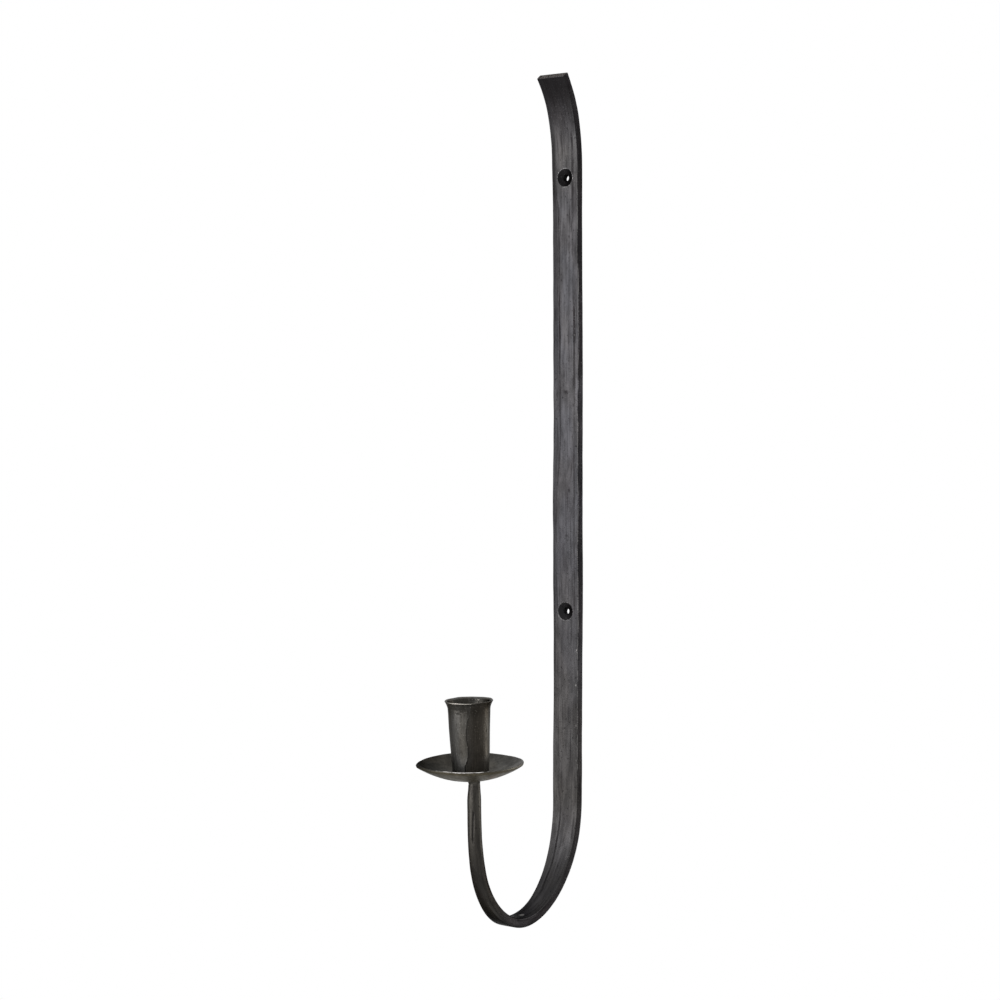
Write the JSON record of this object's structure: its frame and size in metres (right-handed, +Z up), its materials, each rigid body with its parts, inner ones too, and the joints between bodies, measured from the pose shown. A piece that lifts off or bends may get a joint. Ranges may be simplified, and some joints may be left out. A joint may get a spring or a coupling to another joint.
{
  "type": "wall candle holder",
  "caption": "Hand-forged iron wall sconce: a flat strap curls out at the top and sweeps through a J bend up to a dished drip pan and a rolled candle cup.",
  "frame": {"origin": "on the wall plane, midway between the two screw holes in the strap", "axes": "+Z up along the strap, -Y away from the wall towards the room, +X to the right seen from the room"},
  "size_m": [0.0656, 0.1403, 0.5446],
  "materials": {
    "bar_iron": "blackened and waxed, hammered, satin",
    "pan_iron": "blackened sheet, satin, brown tint underneath, worn rim",
    "cup_iron": "blackened rolled sheet, satin, scuffed lip"
  },
  "bodies": {
    "root": {"forged_bar": "bar_iron", "drip_pan": "pan_iron", "candle_cup": "cup_iron", "cup_floor": "cup_iron", "rivet_washer": "cup_iron"}
  },
  "joints": []
}
